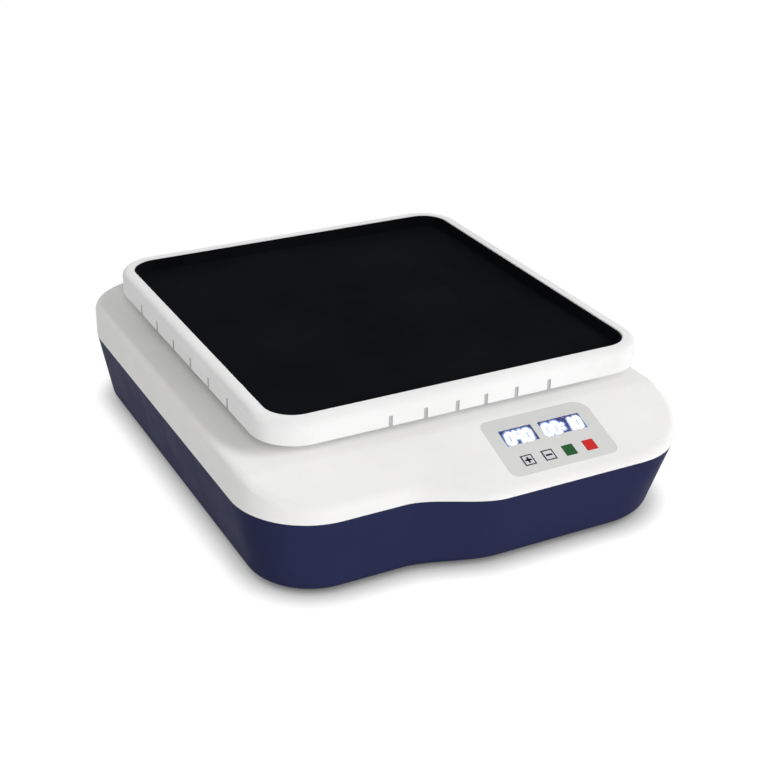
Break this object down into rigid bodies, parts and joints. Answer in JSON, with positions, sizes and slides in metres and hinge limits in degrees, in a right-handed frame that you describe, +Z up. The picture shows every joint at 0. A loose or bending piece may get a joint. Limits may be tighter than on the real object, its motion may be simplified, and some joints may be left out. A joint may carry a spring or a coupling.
{
  "type": "rocking shaker",
  "caption": "Bench rocking shaker: a shallow tray with a lift-out mat tilts side to side over a low two-tone housing with a stepped front and a sloping digital control panel.",
  "frame": {"origin": "on the bench, under the middle of the housing and of the tray", "axes": "+Z up, +Y to the back, +X to the right as seen from the control panel"},
  "size_m": [0.2836, 0.3532, 0.1032],
  "materials": {
    "cover_plastic": "satin moulded plastic, off-white",
    "tub_plastic": "satin moulded plastic, dark navy",
    "tray_plastic": "semi-gloss moulded plastic, off-white",
    "liner_rubber": "matte black rubber with a fine grain",
    "overlay_film": "printed polyester film, light grey",
    "window_film": "clear tinted film",
    "display_body": "backlit numeric display",
    "key_grey": "soft key pad, light grey",
    "key_green": "soft key pad, green",
    "key_red": "soft key pad, red",
    "circuit_board": "green solder mask",
    "black_plastic": "moulded black plastic",
    "white_plastic": "moulded nylon, natural white",
    "sheet_steel": "zinc-plated sheet steel",
    "screw_steel": "zinc-plated steel",
    "bright_steel": "ground bearing steel",
    "cast_aluminium": "machined aluminium",
    "motor_metal": "drawn steel can",
    "brass": "turned brass",
    "foot_rubber": "matte black rubber"
  },
  "bodies": {
    "base": {"tub": "tub_plastic", "top_cover": "cover_plastic", "control_overlay": "overlay_film", "control_board": "circuit_board", "key_switches": "black_plastic", "control_board_screws": "screw_steel", "chassis_plate": "sheet_steel", "chassis_screws": "screw_steel", "pivot_stand_screws": "screw_steel", "motor_bracket": "sheet_steel", "gearbox_screws": "screw_steel", "bracket_screws": "screw_steel", "gearbox": "motor_metal", "motor_can": "motor_metal", "motor_end_cap": "black_plastic", "driver_standoffs": "brass", "driver_board": "circuit_board", "driver_board_screws": "screw_steel", "driver_connectors": "white_plastic", "driver_capacitor": "black_plastic", "driver_heatsink": "cast_aluminium", "power_switch_body": "black_plastic", "power_jack": "black_plastic", "power_jack_pin": "bright_steel", "power_jack_nut": "screw_steel", "feet": "foot_rubber", "foot_screws": "screw_steel", "housing_screws": "screw_steel", "pivot_stand_front": "cast_aluminium", "pivot_stand_rear": "cast_aluminium", "pivot_bearing_front": "bright_steel", "pivot_bearing_rear": "bright_steel", "speed_window": "window_film", "time_window": "window_film", "speed_display": "display_body", "time_display": "display_body"},
    "platform": {"tray": "tray_plastic", "tray_screws": "screw_steel", "carrier_plate": "cast_aluminium", "carrier_screws": "screw_steel", "shaft_clamp_front": "cast_aluminium", "shaft_clamp_rear": "cast_aluminium", "clamp_pins": "bright_steel", "pivot_shaft": "bright_steel", "shaft_rings": "screw_steel", "drive_lever": "cast_aluminium"},
    "crank": {"crank_disc": "brass", "crank_set_screw": "screw_steel", "motor_shaft": "bright_steel", "crank_pin": "bright_steel", "crank_pin_clip": "screw_steel"},
    "liner": {"liner": "liner_rubber"},
    "crank_roller": {"crank_roller": "white_plastic"},
    "power_switch_rocker": {"power_switch_rocker": "black_plastic"},
    "key_plus": {"key_plus": "key_grey"},
    "key_minus": {"key_minus": "key_grey"},
    "key_start": {"key_start": "key_green"},
    "key_stop": {"key_stop": "key_red"}
  },
  "joints": [
    {"name": "platform_rock", "type": "hinge", "parent": "base", "child": "platform", "pos_m": [0, 0, 0.0795], "axis": [0, 1, 0], "range_deg": [-7, 7]},
    {"name": "crank_turn", "type": "hinge", "parent": "base", "child": "crank", "pos_m": [0, 0, 0.033], "axis": [0, 1, 0], "range_deg": [-84, 84]},
    {"name": "roller_spin", "type": "hinge", "parent": "crank", "child": "crank_roller", "pos_m": [0, 0, 0.02733], "axis": [0, 1, 0], "continuous": true},
    {"name": "liner_lift", "type": "slide", "parent": "platform", "child": "liner", "axis": [0, 0, 1], "range_m": [0, 0.06]},
    {"name": "power_switch_tilt", "type": "hinge", "parent": "base", "child": "power_switch_rocker", "pos_m": [0.052, 0.17104, 0.02217], "axis": [1, 0, 0], "range_deg": [0, 18]},
    {"name": "key_plus_press", "type": "slide", "parent": "base", "child": "key_plus", "axis": [0, 0.3256, -0.9455], "range_m": [0, 0.0005], "stiffness_N_per_m": 2000},
    {"name": "key_minus_press", "type": "slide", "parent": "base", "child": "key_minus", "axis": [0, 0.3256, -0.9455], "range_m": [0, 0.0005], "stiffness_N_per_m": 2000},
    {"name": "key_start_press", "type": "slide", "parent": "base", "child": "key_start", "axis": [0, 0.3256, -0.9455], "range_m": [0, 0.0005], "stiffness_N_per_m": 2000},
    {"name": "key_stop_press", "type": "slide", "parent": "base", "child": "key_stop", "axis": [0, 0.3256, -0.9455], "range_m": [0, 0.0005], "stiffness_N_per_m": 2000}
  ],
  "couplings": [
    {"joint": "crank_turn", "follows": "platform_rock", "ratio": 12}
  ]
}
